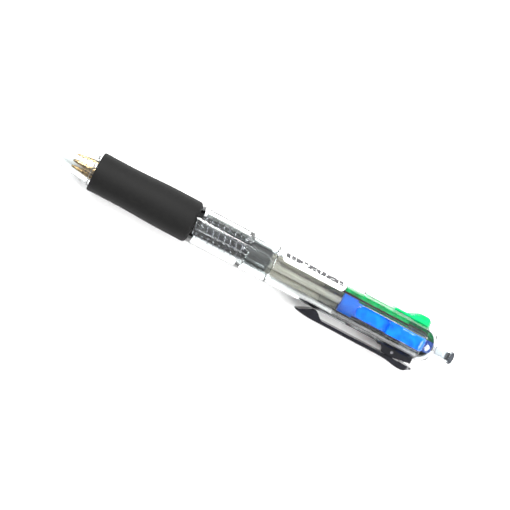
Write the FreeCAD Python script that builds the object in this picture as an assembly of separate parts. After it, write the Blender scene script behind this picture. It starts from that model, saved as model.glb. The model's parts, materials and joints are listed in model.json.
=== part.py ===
"""Four-colour click pen, lying on a table on its clip and its grip.

The pen is modelled upright about its own axis, with its writing end at height 0, and is
laid down at the very end. Every height below is a distance along that axis from the
writing end, in millimetres, and every radius is taken from the axis.

A clear front barrel with a rubber grip screws onto a clear rear barrel. Four coloured
sliders run in slots of the rear barrel. Each pushes one ballpoint refill forward against
a coil spring, and the black one also carries a sprung clip on a hinge pin.
"""

import FreeCAD
import Part

import math
import os

from FreeCAD import Placement, Rotation, Vector

# ---- overall -------------------------------------------------------------------------
BARREL_RADIUS = 6.4            # outside of both barrels
CROWN_HEIGHT = 134.9           # where the crown meets the rear barrel
SLIDER_TRAVEL = 10.0           # push that brings a writing tip out

# ---- heights of the other joints along the axis ----------------------------------------
GRIP_START = 16.0
GRIP_END = 51.4
JOINT_HEIGHT = 79.6            # where the two barrels meet on the outside

# ---- fits -----------------------------------------------------------------------------
RUNNING = 0.10                 # between a slider and what it slides past
CONTACT = 0.02                 # between pieces that are pushed together by hand
COVER = 0.15                   # between pieces that never touch

# ---- front barrel ---------------------------------------------------------------------
NOSE_RADIUS = 2.15
NOSE_BORE_RADIUS = 1.35
NOSE_BORE_LENGTH = 2.5
NOSE_BULGE = 0.35              # how far the nose cone swells past a straight cone
GRIP_SEAT_DEPTH = 1.3          # step from the barrel's outside down to the grip's seat
GRIP_LIP_HEIGHT = 0.8
GRIP_LIP_RISE = 0.3
FRONT_WALL = 1.2               # in front of the springs
SPRING_BORE_WALL = 0.9         # round the springs
MIDDLE_WALL = 1.5

# ---- screw joint between the barrels --------------------------------------------------
NECK_LENGTH = 9.1
NECK_DEPTH = 1.35              # step from the barrel's outside down to the neck
NECK_WALL = 0.65
SOCKET_PLAY = 0.4              # between the neck and the socket, without their threads
THREAD_RISE = 0.28
THREAD_WIDTH = 0.5
THREAD_PITCH = 1.8
THREAD_TURNS = 3

# ---- rubber grip ----------------------------------------------------------------------
GRIP_RISE = 0.65               # of its straight rear stretch over the barrel
GRIP_STRAIGHT = 9.0            # length of that stretch
GRIP_FRONT_RISE = 0.25
GRIP_WAIST_RISE = 0.15
GRIP_EDGE_ROUND = 1.2

# ---- rear barrel ----------------------------------------------------------------------
BARREL_WALL = 0.9
REAR_FLOOR = 1.4               # the ledge over the neck
RIM_CHAMFER = 0.2              # on the edges where barrels and crown meet
SLOT_WIDTH = 4.6
SLOT_SPARE = 1.7               # left in front of a knob that is pushed all the way

# ---- refills --------------------------------------------------------------------------
REFILL_PLAY = 0.2              # between a refill and the front barrel's bore
TIP_REST_HEIGHT = 8.5          # where a drawn-back writing tip ends
TIP_REST_OFFSET = 2.05         # how far from the pen's axis it ends
FLEX_HEIGHT = 39.0             # where the refill starts to bend towards the nose
FLEX_GAP = 0.05                # left between the two halves of a refill tube
BALL_RADIUS = 0.35
TIP_LENGTH = 10.0
TIP_SINK = 0.05                # how far the metal tip is slimmer than its tube
TIP_CONE_RADIUS = 0.62
TIP_CONE_LENGTH = 2.4
TIP_SHOULDER_HEIGHT = 5.6
TIP_SHANK_LENGTH = 3.0
TUBE_RADIUS = 1.2
TUBE_WALL = 0.4
INK_LEVEL = 78.5
EAR_HEIGHT = 69.0              # the pinched ears that the spring pushes on
EAR_LENGTH = 0.9
EAR_RISE = 0.45
EAR_WIDTH = 1.1

# ---- springs and what holds the refills -----------------------------------------------
WIRE_RADIUS = 0.18
SPRING_TURNS = 14
SEAT_HEIGHT = 41.0
SEAT_THICKNESS = 2.0
GUIDE_LENGTH = 7.0
HOLE_PLAY = 0.15

# ---- sliders, measured back from the crown --------------------------------------------
SLIDER_LENGTH = 30.4
CARRIAGE_LENGTH = 5.2
CARRIAGE_OVERLAP = 0.6         # how far a carriage passes under each side of its slot
SLIDER_INNER = 1.5             # inner edge of a slider's wedge
PEG_LENGTH = 4.8
PEG_PLAY = 0.06
KNOB_LENGTH = 13.2
KNOB_FLAT_LENGTH = 4.3
KNOB_FLAT_RISE = 0.25
KNOB_RISE = 2.1                # of the knob's crest over the barrel
KNOB_CREST_BACK = 4.8          # from the crown to where the crest starts
KNOB_CREST_LENGTH = 3.8
TONGUE_WIDTH = 3.8
KNOB_ROUND = 0.7
EDGE_ROUND = 0.55

# ---- core and crown -------------------------------------------------------------------
CORE_LENGTH = 36.9
CORE_ARM_THICKNESS = 0.8
CORE_PLAY = 1.0                # between the core's arms and the rear barrel's bore
CORE_SPIGOT_RADIUS = 0.9
CORE_SPIGOT_LENGTH = 2.6
CROWN_STEP = 0.4               # how far the crown is slimmer than the barrel
CROWN_SHOULDER_RADIUS = 3.9
CROWN_SHOULDER_HEIGHT = 4.8
CROWN_WALL = 0.85
CROWN_LEG_LENGTH = 7.0
CROWN_LEG_PLAY = 0.19          # between a leg and the sliders on either side
CROWN_BOSS_RADIUS = 1.45
STALK_LENGTH = 5.8
STALK_RADIUS = 2.15
STALK_WALL = 0.75
STALK_FLANGE_RISE = 0.3
STALK_FLANGE_LENGTH = 0.5
PLUG_THICKNESS = 1.4
PLUG_RIM = 0.1                 # how far the plug stands past the stalk all round
PLUG_SPIGOT_LENGTH = 1.0

# ---- clip -----------------------------------------------------------------------------
CLIP_LENGTH = 43.4
CLIP_OVERHANG = 1.4            # how far the clip reaches past the rear barrel's end
CLIP_WIDTH = 5.2
CLIP_RISE = 3.6                # of its outer face over the barrel
CLIP_THICKNESS = 1.25
CLIP_HUMP_RISE = 0.9
CLIP_PAD_GAP = 0.08            # left between the closed clip's pad and the barrel
CLIP_CORNER = 1.9
CLIP_PAD_DISTANCE = 3.7        # from the clip's front end
CLIP_PAD_LENGTH = 4.4
PIN_BACK = 7.1                 # from the crown to the hinge
PIN_RADIUS = 0.5
PIN_RISE = 0.75                # of the hinge over the barrel
LUG_WIDTH = 1.7
LUG_RADIUS = 1.25
CLIP_SPRING_BACK = 2.5         # from the crown to the clip's spring
CLIP_SPRING_RADIUS = 0.8
CLIP_SPRING_SINK = 0.1         # how far its foot stands below the barrel's outside
CLIP_SPRING_WIRE = 0.12
CLIP_SPRING_TURNS = 4
POCKET_RADIUS = 1.15

# ---- stickers -------------------------------------------------------------------------
STICKER_THICKNESS = 0.08
LABEL_START = 81.0
LABEL_LENGTH = 23.0
LABEL_WIDTH = 14.0             # round the barrel
LABEL_ANGLE = -1.0             # of its middle, from the green slider
PRICE_LABEL_START = 54.0
PRICE_LABEL_LENGTH = 21.0
PRICE_LABEL_WIDTH = 6.4
PRICE_LABEL_ANGLE = 325.0

# ---- how the pen lies -----------------------------------------------------------------
ROLL = 13.0                    # turn about its own axis, from lying flat on the red knob

# The sliders stand round the axis at these angles, seen with the crown towards the eye.
COLOUR_ANGLES = {"green": 0.0, "blue": 90.0, "black": 180.0, "red": 270.0}

# ---- sizes that follow from the ones above --------------------------------------------
BARREL_BORE_RADIUS = BARREL_RADIUS - BARREL_WALL
MIDDLE_BORE_RADIUS = BARREL_RADIUS - MIDDLE_WALL
GRIP_SEAT_RADIUS = BARREL_RADIUS - GRIP_SEAT_DEPTH
GRIP_RADIUS = BARREL_RADIUS + GRIP_RISE
GRIP_FRONT_RADIUS = BARREL_RADIUS + GRIP_FRONT_RISE
GRIP_WAIST_RADIUS = BARREL_RADIUS + GRIP_WAIST_RISE
FRONT_BORE_RADIUS = GRIP_SEAT_RADIUS - FRONT_WALL
SPRING_BORE_RADIUS = GRIP_SEAT_RADIUS - SPRING_BORE_WALL
NECK_END = JOINT_HEIGHT - NECK_LENGTH
NECK_ROOT_RADIUS = BARREL_RADIUS - NECK_DEPTH
NECK_BORE_RADIUS = NECK_ROOT_RADIUS - NECK_WALL
SOCKET_RADIUS = NECK_ROOT_RADIUS + SOCKET_PLAY
REFILL_OFFSET = FRONT_BORE_RADIUS - REFILL_PLAY - TUBE_RADIUS
TUBE_BORE_RADIUS = TUBE_RADIUS - TUBE_WALL
TIP_RADIUS = TUBE_RADIUS - TIP_SINK
PEG_RADIUS = TUBE_BORE_RADIUS - PEG_PLAY
SPRING_MEAN_RADIUS = TUBE_RADIUS + WIRE_RADIUS + 0.06
SPRING_START = SEAT_HEIGHT + SEAT_THICKNESS
SLIDER_WIDTH = SLOT_WIDTH - 2 * RUNNING
SLIDER_OUTER_RADIUS = BARREL_BORE_RADIUS - COVER
SLIDER_END = CROWN_HEIGHT - RUNNING
SLIDER_START = CROWN_HEIGHT - SLIDER_LENGTH
CARRIAGE_WIDTH = SLOT_WIDTH + 2 * CARRIAGE_OVERLAP
REFILL_END = SLIDER_START - CONTACT
KNOB_START = CROWN_HEIGHT - KNOB_LENGTH
KNOB_RADIUS = BARREL_RADIUS + KNOB_RISE
KNOB_CREST_START = CROWN_HEIGHT - KNOB_CREST_BACK
SLOT_START = KNOB_START - SLIDER_TRAVEL - SLOT_SPARE
TONGUE_LENGTH = CROWN_SHOULDER_HEIGHT - CROWN_WALL - COVER
CORE_START = CROWN_HEIGHT - CORE_LENGTH
CORE_ARM_RADIUS = BARREL_BORE_RADIUS - CORE_PLAY
CROWN_RADIUS = BARREL_RADIUS - CROWN_STEP
CROWN_LEG_INNER = CORE_ARM_RADIUS + COVER
SLIDER_CORNER = math.sqrt(CROWN_LEG_INNER ** 2 - (SLIDER_WIDTH / 2) ** 2)
CROWN_LEG_WIDTH = math.sqrt(2) * (SLIDER_CORNER - SLIDER_WIDTH / 2) - 2 * CROWN_LEG_PLAY
STALK_HEIGHT = CROWN_HEIGHT + CROWN_SHOULDER_HEIGHT
STALK_BORE_RADIUS = STALK_RADIUS - STALK_WALL
PLUG_HEIGHT = STALK_HEIGHT + STALK_LENGTH
PEN_LENGTH = PLUG_HEIGHT + PLUG_THICKNESS
CLIP_END = CROWN_HEIGHT + CLIP_OVERHANG
CLIP_START = CLIP_END - CLIP_LENGTH
CLIP_OUTER_RADIUS = BARREL_RADIUS + CLIP_RISE
CLIP_INNER_RADIUS = CLIP_OUTER_RADIUS - CLIP_THICKNESS
CLIP_PAD_START = CLIP_START + CLIP_PAD_DISTANCE
PIN_HEIGHT = CROWN_HEIGHT - PIN_BACK
PIN_OFFSET = BARREL_RADIUS + PIN_RISE
CLIP_SPRING_HEIGHT = CROWN_HEIGHT - CLIP_SPRING_BACK
CLIP_SPRING_FLOOR = BARREL_RADIUS - CLIP_SPRING_SINK
REST_LEAN = math.atan2(REFILL_OFFSET - TIP_REST_OFFSET, FLEX_HEIGHT - TIP_REST_HEIGHT)

# The pen rests on a rounded edge of the red slider's knob, and on the grip in front.
REST_DEPTH = ((KNOB_RADIUS - KNOB_ROUND) * math.cos(math.radians(ROLL))
              + (SLIDER_WIDTH / 2 - KNOB_ROUND) * math.sin(math.radians(ROLL))
              + KNOB_ROUND)
KNOB_REST_HEIGHT = KNOB_CREST_START + KNOB_CREST_LENGTH / 2
GRIP_REST_HEIGHT = GRIP_END - GRIP_EDGE_ROUND - GRIP_STRAIGHT
PITCH = math.degrees(math.asin((REST_DEPTH - GRIP_RADIUS) / (KNOB_REST_HEIGHT - GRIP_REST_HEIGHT)))

AXIS = Vector(0, 0, 1)
ORIGIN = Vector(0, 0, 0)


# ---- small helpers --------------------------------------------------------------------
def ring_point(radius, height):
    """A point of a profile in the XZ plane."""
    return Vector(radius, 0, height)


def edges_of(points):
    """Straight edges through points, with an arc wherever a point is ('arc', middle)."""
    edges = []
    position = points[0]
    middle = None
    for item in points[1:] + [points[0]]:
        if isinstance(item, tuple):
            middle = item[1]
            continue
        if middle is not None:
            edges.append(Part.Arc(position, middle, item).toShape())
            middle = None
        elif (item - position).Length > 1e-7:
            edges.append(Part.LineSegment(position, item).toShape())
        position = item
    return edges


def turned(points):
    """A solid of revolution about the pen's axis."""
    face = Part.Face(Part.Wire(edges_of(points)))
    return face.revolve(ORIGIN, AXIS, 360)


def plate(points, width):
    """A profile in the XZ plane, made width wide and centred on that plane."""
    face = Part.Face(Part.Wire(edges_of(points)))
    face.translate(Vector(0, -width / 2, 0))
    return face.extrude(Vector(0, width, 0))


def smooth_plate(smooth, straight, width):
    """A plate whose outline is one smooth curve, closed by straight edges through points."""
    curve = Part.BSplineCurve()
    curve.interpolate(smooth)
    corners = [smooth[-1]] + straight + [smooth[0]]
    sides = [Part.LineSegment(a, b).toShape() for a, b in zip(corners[:-1], corners[1:])]
    face = Part.Face(Part.Wire([curve.toShape()] + sides))
    face.translate(Vector(0, -width / 2, 0))
    return face.extrude(Vector(0, width, 0))


def round_top(body, radius):
    """Rounds the two long edges of a smooth plate's outer curve."""
    outermost = max(edge.BoundBox.XMax for edge in body.Edges)
    return round_edges(body, radius, lambda edge: edge.BoundBox.ZLength > 1
                       and edge.BoundBox.XMax > outermost - 0.01)


def rod(radius, start, end, offset=0.0):
    """A round rod along the axis, offset from it along X."""
    return Part.makeCylinder(radius, end - start, Vector(offset, 0, start))


def block(x_low, x_high, width, start, end):
    """A box centred on the XZ plane."""
    return Part.makeBox(x_high - x_low, width, end - start, Vector(x_low, -width / 2, start))


def at_angle(shape, angle):
    """A copy of a shape, turned round the pen's axis."""
    copy = shape.copy()
    copy.rotate(ORIGIN, AXIS, angle)
    return copy


def round_edges(shape, radius, chosen):
    """Rounds the edges for which chosen(edge) is true."""
    edges = [edge for edge in shape.Edges if chosen(edge)]
    return shape.makeFillet(radius, edges)


def coil(mean_radius, wire_radius, start, end, turns):
    """A wire wound round the axis, as one solid."""
    low = start + wire_radius
    high = end - wire_radius
    helix = Part.makeHelix((high - low) / turns, high - low, mean_radius)
    helix.translate(Vector(0, 0, low))
    circle = Part.Circle(Vector(mean_radius, 0, low), Vector(0, 1, 0), wire_radius)
    return swept(Part.Wire(circle.toShape()), helix)


def swept(profile, helix):
    """A closed profile carried along a helix, as one solid."""
    shell = Part.BRepOffsetAPI.MakePipeShell(Part.Wire(helix.Edges))
    shell.setFrenetMode(True)
    shell.add(profile)
    shell.build()
    shell.makeSolid()
    return shell.shape()


def thread_ridge(base_radius, rise, start):
    """A helical ridge on a round wall. A negative rise points inwards."""
    sink = 0.05 if rise > 0 else -0.05
    half = THREAD_WIDTH / 2
    profile = [
        ring_point(base_radius - sink, start - half),
        ring_point(base_radius, start - half),
        ring_point(base_radius + rise, start - half / 3),
        ring_point(base_radius + rise, start + half / 3),
        ring_point(base_radius, start + half),
        ring_point(base_radius - sink, start + half),
    ]
    helix = Part.makeHelix(THREAD_PITCH, THREAD_PITCH * THREAD_TURNS, base_radius)
    helix.translate(Vector(0, 0, start))
    return swept(Part.Wire(edges_of(profile)), helix)


def four_holes(radius, start, end):
    """Four rods where the refills stand, to cut holes with."""
    return [at_angle(rod(radius, start, end, REFILL_OFFSET), angle)
            for angle in COLOUR_ANGLES.values()]


# ---- barrels --------------------------------------------------------------------------
def front_barrel():
    """Clear front barrel: nose cone, seat for the grip, and the socket of the screw joint."""
    cone_middle = ring_point((NOSE_RADIUS + GRIP_SEAT_RADIUS) / 2 + NOSE_BULGE, GRIP_START / 2)
    lip_radius = GRIP_SEAT_RADIUS + GRIP_LIP_RISE
    bore_middle_height = (NOSE_BORE_LENGTH + GRIP_START) / 2
    bore_middle = (NOSE_BORE_RADIUS + FRONT_BORE_RADIUS) / 2 + NOSE_BULGE
    shell = turned([
        ring_point(NOSE_BORE_RADIUS, 0),
        ring_point(NOSE_RADIUS - 0.2, 0),
        ring_point(NOSE_RADIUS, 0.25),
        ("arc", cone_middle),
        ring_point(GRIP_SEAT_RADIUS, GRIP_START - GRIP_LIP_HEIGHT - 0.3),
        ring_point(lip_radius, GRIP_START - GRIP_LIP_HEIGHT),
        ring_point(lip_radius, GRIP_START),
        ring_point(GRIP_SEAT_RADIUS, GRIP_START),
        ring_point(GRIP_SEAT_RADIUS, GRIP_END),
        ring_point(BARREL_RADIUS, GRIP_END),
        ring_point(BARREL_RADIUS, JOINT_HEIGHT - RIM_CHAMFER),
        ring_point(BARREL_RADIUS - RIM_CHAMFER, JOINT_HEIGHT),
        ring_point(SOCKET_RADIUS, JOINT_HEIGHT),
        ring_point(SOCKET_RADIUS, NECK_END - COVER),
        ring_point(MIDDLE_BORE_RADIUS, NECK_END - 2 * COVER - MIDDLE_WALL),
        ring_point(MIDDLE_BORE_RADIUS, GRIP_END + MIDDLE_WALL),
        ring_point(SPRING_BORE_RADIUS, GRIP_END),
        ring_point(SPRING_BORE_RADIUS, SEAT_HEIGHT),
        ring_point(FRONT_BORE_RADIUS, SEAT_HEIGHT),
        ring_point(FRONT_BORE_RADIUS, GRIP_START),
        ("arc", ring_point(bore_middle, bore_middle_height)),
        ring_point(NOSE_BORE_RADIUS, NOSE_BORE_LENGTH),
    ])
    ridge = thread_ridge(SOCKET_RADIUS, -THREAD_RISE, NECK_END + THREAD_PITCH)
    return shell.fuse(ridge).removeSplitter()


def rubber_grip():
    """Black rubber sleeve with a slight waist, pushed over the front barrel."""
    inner = GRIP_SEAT_RADIUS + CONTACT
    waist_height = GRIP_START + (GRIP_END - GRIP_START) / 3
    rear_round = GRIP_END - CONTACT - GRIP_EDGE_ROUND
    tilt = math.sqrt(0.5)
    return turned([
        ring_point(inner, GRIP_START + CONTACT),
        ring_point(GRIP_FRONT_RADIUS - GRIP_EDGE_ROUND / 2, GRIP_START + CONTACT),
        ("arc", ring_point(GRIP_FRONT_RADIUS - GRIP_EDGE_ROUND * (1 - tilt) / 2,
                           GRIP_START + CONTACT + GRIP_EDGE_ROUND * (1 - tilt) / 2)),
        ring_point(GRIP_FRONT_RADIUS, GRIP_START + GRIP_EDGE_ROUND / 2),
        ("arc", ring_point(GRIP_WAIST_RADIUS, waist_height)),
        ring_point(GRIP_RADIUS, GRIP_END - GRIP_EDGE_ROUND - GRIP_STRAIGHT),
        ring_point(GRIP_RADIUS, rear_round),
        ("arc", ring_point(GRIP_RADIUS - GRIP_EDGE_ROUND * (1 - tilt),
                           rear_round + GRIP_EDGE_ROUND * tilt)),
        ring_point(GRIP_RADIUS - GRIP_EDGE_ROUND, GRIP_END - CONTACT),
        ring_point(inner, GRIP_END - CONTACT),
    ])


def rear_barrel():
    """Clear rear barrel with four slots, open at the crown, and the threaded neck."""
    shell = turned([
        ring_point(NECK_BORE_RADIUS, NECK_END),
        ring_point(NECK_ROOT_RADIUS - 0.3, NECK_END),
        ring_point(NECK_ROOT_RADIUS, NECK_END + 0.3),
        ring_point(NECK_ROOT_RADIUS, JOINT_HEIGHT + CONTACT),
        ring_point(BARREL_RADIUS - RIM_CHAMFER, JOINT_HEIGHT + CONTACT),
        ring_point(BARREL_RADIUS, JOINT_HEIGHT + CONTACT + RIM_CHAMFER),
        ring_point(BARREL_RADIUS, CROWN_HEIGHT - CONTACT - RIM_CHAMFER),
        ring_point(BARREL_RADIUS - RIM_CHAMFER, CROWN_HEIGHT - CONTACT),
        ring_point(BARREL_BORE_RADIUS, CROWN_HEIGHT - CONTACT),
        ring_point(BARREL_BORE_RADIUS, JOINT_HEIGHT + REAR_FLOOR),
        ring_point(NECK_BORE_RADIUS, JOINT_HEIGHT + REAR_FLOOR),
    ])
    ridge = thread_ridge(NECK_ROOT_RADIUS, THREAD_RISE, NECK_END + THREAD_PITCH * 1.5)
    shell = shell.fuse(ridge).removeSplitter()
    slot_end_radius = SLOT_WIDTH / 2
    slot = block(BARREL_BORE_RADIUS / 2, BARREL_RADIUS + 1, SLOT_WIDTH,
                 SLOT_START + slot_end_radius, CROWN_HEIGHT + 1)
    slot_end = Part.makeCylinder(slot_end_radius, BARREL_RADIUS,
                                 Vector(BARREL_BORE_RADIUS / 2, 0, SLOT_START + slot_end_radius),
                                 Vector(1, 0, 0))
    opening = slot.fuse(slot_end)
    return shell.cut([at_angle(opening, angle) for angle in COLOUR_ANGLES.values()])


# ---- inside the barrels ---------------------------------------------------------------
def spring_seat():
    """Disc with four holes, on a ledge inside the grip, where the springs stand."""
    disc = rod(SPRING_BORE_RADIUS - CONTACT, SEAT_HEIGHT + CONTACT, SPRING_START)
    return disc.cut(four_holes(TUBE_RADIUS + HOLE_PLAY, SEAT_HEIGHT - 1, SPRING_START + 1))


def refill_guide():
    """Clear block with four holes, pressed into the neck, that keeps the refills apart."""
    low = NECK_END + CONTACT
    body = rod(NECK_BORE_RADIUS - CONTACT, low, low + GUIDE_LENGTH)
    return body.cut(four_holes(TUBE_RADIUS + HOLE_PLAY, low - 1, low + GUIDE_LENGTH + 1))


def slider_core():
    """Clear cross-shaped post that parts the four sliders and hangs from the crown."""
    top = CROWN_HEIGHT
    arm = block(-CORE_ARM_RADIUS, CORE_ARM_RADIUS, CORE_ARM_THICKNESS, CORE_START, top)
    cross = at_angle(arm, 45).fuse(at_angle(arm, 135)).removeSplitter()
    spigot = rod(CORE_SPIGOT_RADIUS, top - 1, top + CORE_SPIGOT_LENGTH)
    return cross.fuse(spigot).removeSplitter()


def crown():
    """Clear crown: a dome over the sliders' tongues, four legs, and a hollow stalk."""
    roof = STALK_HEIGHT - CROWN_WALL
    inner_rim = CROWN_RADIUS - CROWN_WALL
    flange_radius = STALK_RADIUS + STALK_FLANGE_RISE
    dome = turned([
        ring_point(0, roof),
        ring_point(CROWN_SHOULDER_RADIUS - CROWN_WALL, roof),
        ("arc", ring_point(inner_rim - 0.45, CROWN_HEIGHT + CROWN_SHOULDER_HEIGHT * 0.5)),
        ring_point(inner_rim, CROWN_HEIGHT),
        ring_point(CROWN_RADIUS, CROWN_HEIGHT),
        ("arc", ring_point(CROWN_RADIUS - 0.55, CROWN_HEIGHT + CROWN_SHOULDER_HEIGHT * 0.55)),
        ring_point(CROWN_SHOULDER_RADIUS, STALK_HEIGHT - 0.25),
        ring_point(flange_radius, STALK_HEIGHT),
        ring_point(flange_radius, STALK_HEIGHT + STALK_FLANGE_LENGTH),
        ring_point(STALK_RADIUS, STALK_HEIGHT + STALK_FLANGE_LENGTH),
        ring_point(STALK_RADIUS, PLUG_HEIGHT - CONTACT),
        ring_point(STALK_BORE_RADIUS, PLUG_HEIGHT - CONTACT),
        ring_point(STALK_BORE_RADIUS, STALK_HEIGHT + STALK_FLANGE_LENGTH),
        ring_point(0, STALK_HEIGHT + STALK_FLANGE_LENGTH),
    ])
    boss = rod(CROWN_BOSS_RADIUS, CROWN_HEIGHT + COVER, roof + 0.1)
    leg_outer = rod(BARREL_BORE_RADIUS - CONTACT, CROWN_HEIGHT - CROWN_LEG_LENGTH, CROWN_HEIGHT + 0.4)
    leg_inner = rod(CROWN_LEG_INNER, CROWN_HEIGHT - CROWN_LEG_LENGTH - 1, CROWN_HEIGHT + 1)
    leg_ring = leg_outer.cut(leg_inner)
    legs = [leg_ring.common(at_angle(block(0, BARREL_RADIUS, CROWN_LEG_WIDTH,
                                           CROWN_HEIGHT - CROWN_LEG_LENGTH, CROWN_HEIGHT + 0.4),
                                     angle + 45))
            for angle in COLOUR_ANGLES.values()]
    body = dome.fuse([boss] + legs).removeSplitter()
    spigot_hole = rod(CORE_SPIGOT_RADIUS + CONTACT, CROWN_HEIGHT - 1,
                      CROWN_HEIGHT + CORE_SPIGOT_LENGTH + COVER)
    return body.cut(spigot_hole)


def crown_plug():
    """Smoke-grey plug that closes the crown's stalk."""
    rim = 0.3
    radius = STALK_RADIUS + PLUG_RIM
    return turned([
        ring_point(0, PLUG_HEIGHT - PLUG_SPIGOT_LENGTH),
        ring_point(STALK_BORE_RADIUS - CONTACT, PLUG_HEIGHT - PLUG_SPIGOT_LENGTH),
        ring_point(STALK_BORE_RADIUS - CONTACT, PLUG_HEIGHT),
        ring_point(radius, PLUG_HEIGHT),
        ring_point(radius, PEN_LENGTH - rim),
        ring_point(radius - rim, PEN_LENGTH),
        ring_point(0, PEN_LENGTH),
    ])


# ---- sliders --------------------------------------------------------------------------
def wedge(width, start, end):
    """A bar as wide as width outside, which narrows inwards between two arms of the core."""
    flank = (CORE_ARM_THICKNESS / 2 + COVER) * math.sqrt(2)
    half = width / 2
    corners = [(SLIDER_INNER, SLIDER_INNER - flank), (half + flank, half),
               (BARREL_RADIUS, half), (BARREL_RADIUS, -half),
               (half + flank, -half), (SLIDER_INNER, flank - SLIDER_INNER)]
    points = [Vector(x, y, start) for x, y in corners]
    face = Part.Face(Part.Wire(edges_of(points)))
    return face.extrude(Vector(0, 0, end - start))


def inside_barrel(shape):
    """What of a bar stays clear of the rear barrel's bore."""
    box = shape.BoundBox
    return shape.common(rod(SLIDER_OUTER_RADIUS, box.ZMin, box.ZMax))


def thumb_knob():
    """A thumb knob: a low flat, a ramp, a crest and a steep front, with round edges."""
    sunk = SLIDER_OUTER_RADIUS - 0.6
    base = BARREL_RADIUS + KNOB_FLAT_RISE
    ramp_start = KNOB_START + KNOB_FLAT_LENGTH
    ramp_length = KNOB_CREST_START - ramp_start
    crest_end = KNOB_CREST_START + KNOB_CREST_LENGTH
    rise = KNOB_RADIUS - base
    smooth = [
        ring_point(base, ramp_start),
        ring_point(base + rise * 0.28, ramp_start + ramp_length * 0.35),
        ring_point(base + rise * 0.68, ramp_start + ramp_length * 0.70),
        ring_point(base + rise * 0.94, KNOB_CREST_START),
        ring_point(KNOB_RADIUS, KNOB_CREST_START + KNOB_CREST_LENGTH / 2),
        ring_point(base + rise * 0.93, crest_end - 0.3),
        ring_point(base + rise * 0.60, (crest_end + SLIDER_END) / 2),
        ring_point(CROWN_RADIUS + 0.6, SLIDER_END),
    ]
    knob = round_top(smooth_plate(smooth, [
        ring_point(sunk, SLIDER_END),
        ring_point(sunk, KNOB_START),
        ring_point(base - KNOB_FLAT_RISE, KNOB_START),
        ring_point(base, KNOB_START + 0.3),
    ], SLIDER_WIDTH), KNOB_ROUND)
    return knob


def tongue():
    """The nose of a slider, which stays under the crown's dome."""
    start = SLIDER_END - 0.5
    end = SLIDER_END + TONGUE_LENGTH
    rim = CROWN_RADIUS - CROWN_WALL - COVER
    under_dome = turned([
        ring_point(CROWN_BOSS_RADIUS + COVER, start),
        ring_point(rim, start),
        ring_point(rim, SLIDER_END),
        ring_point(rim - 0.55, SLIDER_END + TONGUE_LENGTH * 0.5),
        ring_point(CROWN_SHOULDER_RADIUS - CROWN_WALL, end),
        ring_point(CROWN_BOSS_RADIUS + COVER, end),
    ])
    return under_dome.common(wedge(TONGUE_WIDTH, start, end))


def slider_body():
    """What the four sliders share: carriage, stem, tongue and the refill's peg."""
    carriage_end = SLIDER_START + CARRIAGE_LENGTH
    carriage = inside_barrel(wedge(CARRIAGE_WIDTH, SLIDER_START, carriage_end))
    stem = inside_barrel(wedge(SLIDER_WIDTH, carriage_end - 0.5, SLIDER_END))
    peg = rod(PEG_RADIUS, SLIDER_START - PEG_LENGTH, SLIDER_START + 1, REFILL_OFFSET)
    peg = round_edges(peg, 0.2, lambda edge: edge.BoundBox.ZMax < SLIDER_START - PEG_LENGTH + 0.01)
    return carriage.fuse([stem, tongue(), peg])


def colour_slider():
    """A slider with a plain thumb knob."""
    return slider_body().fuse(thumb_knob()).removeSplitter()


def clip_slider():
    """The black slider: its knob is a block with two ears for the clip's pin."""
    sunk = SLIDER_OUTER_RADIUS - 0.6
    base = BARREL_RADIUS
    under_clip = CLIP_INNER_RADIUS - 0.2
    lever_room = 0.9
    ears = plate([
        ring_point(sunk, KNOB_START),
        ring_point(base, KNOB_START),
        ring_point(base + KNOB_FLAT_RISE, KNOB_START + 0.3),
        ring_point(base + KNOB_FLAT_RISE, PIN_HEIGHT - LUG_RADIUS - 3.2),
        ring_point(under_clip, PIN_HEIGHT - LUG_RADIUS - 1.6),
        ring_point(under_clip, PIN_HEIGHT + LUG_RADIUS),
        ring_point(under_clip - lever_room, SLIDER_END),
        ring_point(sunk, SLIDER_END),
    ], SLIDER_WIDTH)
    body = slider_body().fuse(ears).removeSplitter()
    lug_slot = block(PIN_OFFSET - LUG_RADIUS - COVER, CLIP_OUTER_RADIUS, LUG_WIDTH + 2 * RUNNING,
                     PIN_HEIGHT - LUG_RADIUS - COVER, PIN_HEIGHT + LUG_RADIUS + COVER)
    pin_hole = cross_pin(PIN_RADIUS + CONTACT)
    pocket = Part.makeCylinder(POCKET_RADIUS, CLIP_OUTER_RADIUS,
                               Vector(CLIP_SPRING_FLOOR, 0, CLIP_SPRING_HEIGHT), Vector(1, 0, 0))
    return body.cut([lug_slot, pin_hole, pocket])


def cross_pin(radius):
    """A rod across the clip slider, through the hinge."""
    return Part.makeCylinder(radius, SLIDER_WIDTH,
                             Vector(PIN_OFFSET, -SLIDER_WIDTH / 2, PIN_HEIGHT), Vector(0, 1, 0))


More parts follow.
